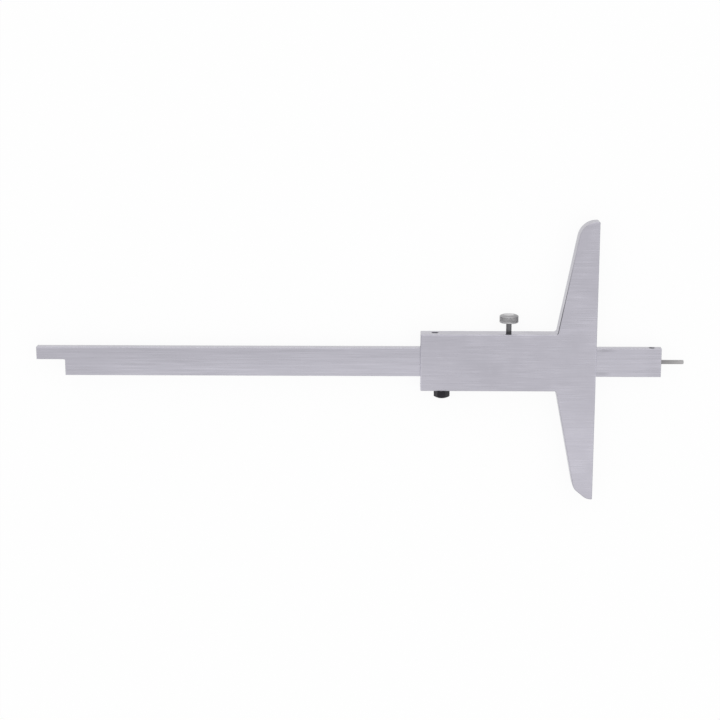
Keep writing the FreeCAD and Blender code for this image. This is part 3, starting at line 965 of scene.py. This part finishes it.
@dataclass
class VernierPlate:
    """The bevelled plate in the reading window, with its two screws and its scale."""

    steel: MetalFinish = MetalFinish(
        "satin_plate_finish", (0.52, 0.515, 0.53), 0.40, mark_width=0.25, mark_depth=0.04
    )
    screw: MetalFinish = MetalFinish(
        "plate_screw_finish", (0.42, 0.415, 0.43), 0.32, Grain.ROUND_Z, (-47.5, -7.2, 0.0), mark_width=0.15
    )
    scale: Scale = field(default_factory=lambda: Scale(
        name="vernier_scale", body="slider", zero=(-16.0, -3.2, 1.85), up=(0.0, 2.5, 1.55),
        step=1.95, marks=20, side=Side.BELOW,
        rows=(
            Row(first=0, group=1, every=2, count=11, length=1.55),
            Row(first=1, group=1, every=2, count=10, length=1.15),
        ),
        number_every=2, number_step=1, number_base=-2.85, number_height=0.95,
    ))

    def build(self, ink: bpy.types.Material) -> None:
        """Dresses the plate and its screws and lays the scale on the bevel.

        Args:
            ink: the finish of the marks.
        """
        dress({
            "vernier_plate": self.steel.build(),
            "vernier_screw_far": self.screw.build(),
            "vernier_screw_near": self.screw.build(),
        })
        self.scale.build(ink)


@dataclass
class Beam:
    """The beam with its pin, the screw that holds the pin and the main scale."""

    steel: MetalFinish = MetalFinish(
        "beam_steel_finish", (0.448, 0.438, 0.488), 0.30, mark_width=0.5, mark_length=22.0, mark_depth=0.22,
        cloud_size=14.0, cloud_depth=0.08, edge_round=0.45, edge_gain=0.22, patchiness=1.5,
        stains_and_painted_light=(
            # Painted sheen: the beam is lighter towards its lower edge, left of the slider.
            StainAndPaintedLight((-95.0, -4.0, 0.0), (0.06, 1.0, 0.0), 1.0, 9.0, -0.14, 4.0),
            # Darker smudges on the beam's upper face beside the bridge's measuring face.
            StainAndPaintedLight((3.3, 4.3, 5.65), (0.3, 1.4, 1.0), 0.2, 1.2, 0.20, 0.8),
            StainAndPaintedLight((2.6, -4.0, 5.65), (0.3, 1.2, 1.0), 0.2, 1.2, 0.17, 0.8),
            # Painted highlight: a lighter band along the beam's +Y edge.
            StainAndPaintedLight((0.0, 5.1, 0.0), (0.0, 1.0, 0.0), 0.3, 1.2, -0.06, 0.4),
            StainAndPaintedLight((18.0, -4.0, 5.65), (0.2, 1.0, 1.0), 1.0, 4.0, 0.06, 0.8),
            StainAndPaintedLight((22.0, 0.0, 5.65), (1.0, 0.2, 1.0), 2.0, 6.0, 0.05, 1.0),
            # Painted shade: darkens the beam around the hole of the pin's set screw.
            StainAndPaintedLight((19.75, 5.1, 3.9), (1.0, 1.0, 1.0), 0.9, 1.5, 0.45, 0.3),
        ),
    )
    pin: MetalFinish = MetalFinish(
        "pin_finish", (0.40, 0.392, 0.396), 0.26, Grain.ROUND_X, (0.0, 0.0, 3.9), mark_width=0.3,
        # Darker towards the pin's root at the beam.
        stains_and_painted_light=(StainAndPaintedLight((23.0, 0.0, 0.0), (1.0, 0.0, 0.0), 0.5, 8.0, 0.42, 1.0),),
    )
    # Painted shade: the set screw is coloured dark to stand for the shade in its hole.
    screw: MetalFinish = MetalFinish(
        "pin_screw_finish", (0.07, 0.07, 0.075), 0.42, Grain.ROUND_Y, (19.75, 0.0, 3.9), mark_width=0.15
    )
    scale: Scale = field(default_factory=lambda: Scale(
        name="main_scale", body="beam", zero=(15.0, -5.0, 2.15), up=(0.0, 1.0, 0.0),
        step=1.0, marks=190, side=Side.ABOVE,
        rows=(
            Row(first=0, group=1, every=10, count=20, length=5.2),
            Row(first=5, group=1, every=10, count=19, length=4.5),
            Row(first=1, group=4, every=5, count=38, length=3.8),
        ),
        number_every=10, number_step=10, number_base=5.8, number_height=2.1,
    ))

    def build(self, ink: bpy.types.Material) -> None:
        """Dresses the solids of the beam and lays the main scale on its front.

        Args:
            ink: the finish of the marks.
        """
        dress({
            "beam": self.steel.build(),
            "measuring_pin": self.pin.build(),
            "pin_set_screw": self.screw.build(),
        })
        self.scale.build(ink)


@dataclass(frozen=True)
class Lamp:
    """A square soft lamp that points at the object: where it hangs, its side and its power in watts."""

    name: str
    place: Triple
    size: float
    power: float

    def build(self, target: Triple) -> None:
        """Adds the lamp.

        Args:
            target: the place that it points at.
        """
        bpy.ops.object.light_add(type="AREA", location=vector(self.place))
        lamp = bpy.context.active_object
        lamp.name = self.name
        lamp.data.shape = "SQUARE"
        lamp.data.size = self.size * MM
        lamp.data.energy = self.power
        aim = vector(target) - vector(self.place)
        lamp.rotation_euler = aim.to_track_quat("-Z", "Y").to_euler()


@dataclass
class Studio:
    """The camera at the photograph's angle, a pale floor, a white surround and soft light.

    Attributes:
        focus: the place that the camera and the lamps point at.
        distance: the camera's distance from it.
        tilt: the camera's turn about X, in degrees.
        pan: its turn about Y, in degrees.
        roll: its turn about its own line of sight, in degrees.
        lens: its focal length.
        sensor: the width of its sensor.
        nearest: the nearest that it sees.
        farthest: the farthest that it sees.
        floor_size: the side of the floor.
        floor_glow: how white the floor is to the camera, apart from its light and shadow.
        floor_colour: the floor's colour.
        surround_level: the strength of the surround's light.
        lamps: the lamps.
    """

    focus: Triple = (-83.211, 0.258, 3.5)
    distance: float = 576.418
    tilt: float = -12.6171
    pan: float = 1.2069
    roll: float = -0.0700
    lens: float = 81.2226
    sensor: float = 36.0
    nearest: float = 10.0
    farthest: float = 20000.0
    floor_size: float = 6000.0
    floor_glow: float = 0.92
    floor_colour: Triple = (0.93, 0.93, 0.93)
    surround_level: float = 0.92
    lamps: tuple[Lamp, ...] = (
        Lamp("key_lamp", (620.0, -560.0, 1080.0), 1100.0, 1.2),
        Lamp("low_lamp", (-150.0, 1400.0, 380.0), 1000.0, 1.6),
    )

    def build_camera(self) -> None:
        """Adds the camera."""
        turn = (
            Matrix.Rotation(math.radians(self.pan), 3, "Y")
            @ Matrix.Rotation(math.radians(self.tilt), 3, "X")
            @ Matrix.Rotation(math.radians(self.roll), 3, "Z")
        )
        place = vector(self.focus) + turn.col[2] * self.distance * MM
        bpy.ops.object.camera_add(location=place, rotation=turn.to_euler())
        camera = bpy.context.active_object
        camera.data.lens = self.lens
        camera.data.sensor_width = self.sensor
        camera.data.clip_start, camera.data.clip_end = self.nearest * MM, self.farthest * MM
        bpy.context.scene.camera = camera

    def seen_plainly(self, graph: Graph, by_camera: float) -> Wire:
        """Works out how plainly a ray sees a surface as white.

        Args:
            graph: the graph to build in.
            by_camera: the answer for the camera.

        Returns:
            That answer for the camera, 1 for metal and glass, and 0 for matt surfaces.
        """
        camera, glossy, through = (
            graph.node("ShaderNodeLightPath", None, out=f"Is {kind} Ray")
            for kind in ("Camera", "Glossy", "Transmission")
        )
        plainly = camera * by_camera + glossy + through
        return graph.node("ShaderNodeMath", {"operation": "MINIMUM"}, plainly, 1.0)

    def build_floor(self) -> None:
        """Adds the floor, which is white to the camera and still keeps the object's shadow."""
        Workpiece.clear()
        bpy.ops.mesh.primitive_plane_add(size=self.floor_size * MM)
        floor = bpy.context.active_object
        floor.name = "floor"
        material = bpy.data.materials.new("floor_finish")
        material.use_nodes = True
        graph = Graph(material.node_tree)
        matt = graph.node("ShaderNodeBsdfDiffuse", None, (*self.floor_colour, 1.0))
        glow = graph.node("ShaderNodeEmission", None, (1.0, 1.0, 1.0, 1.0), 1.0)
        plainly = self.seen_plainly(graph, self.floor_glow)
        mixed = graph.node("ShaderNodeMixShader", None, plainly, matt, glow)
        graph.node("ShaderNodeOutputMaterial", None, mixed)
        floor.data.materials.append(material)

    def build_surround(self) -> None:
        """Makes the world white where it is seen, and a plain soft light elsewhere."""
        world = bpy.data.worlds.new("surround")
        bpy.context.scene.world = world
        world.use_nodes = True
        graph = Graph(world.node_tree)
        level = self.surround_level + self.seen_plainly(graph, 1.0) * (1 - self.surround_level)
        shade = graph.node("ShaderNodeBackground", None, (1.0, 1.0, 1.0, 1.0), level)
        graph.node("ShaderNodeOutputWorld", None, shade)

    def build(self) -> None:
        """Sets up the studio."""
        Workpiece.clear()
        bpy.context.scene.view_settings.view_transform = "Standard"
        self.build_camera()
        self.build_floor()
        self.build_surround()
        for lamp in self.lamps:
            lamp.build(self.focus)
        log.info("studio ready")


def main() -> None:
    """Builds the studio and each sub-assembly."""
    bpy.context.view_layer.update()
    Studio().build()
    ink = InkFinish().build()
    Body().build()
    LockScrew().build()
    VernierPlate().build(ink)
    Beam().build(ink)


if __name__ == "__main__":
    main()
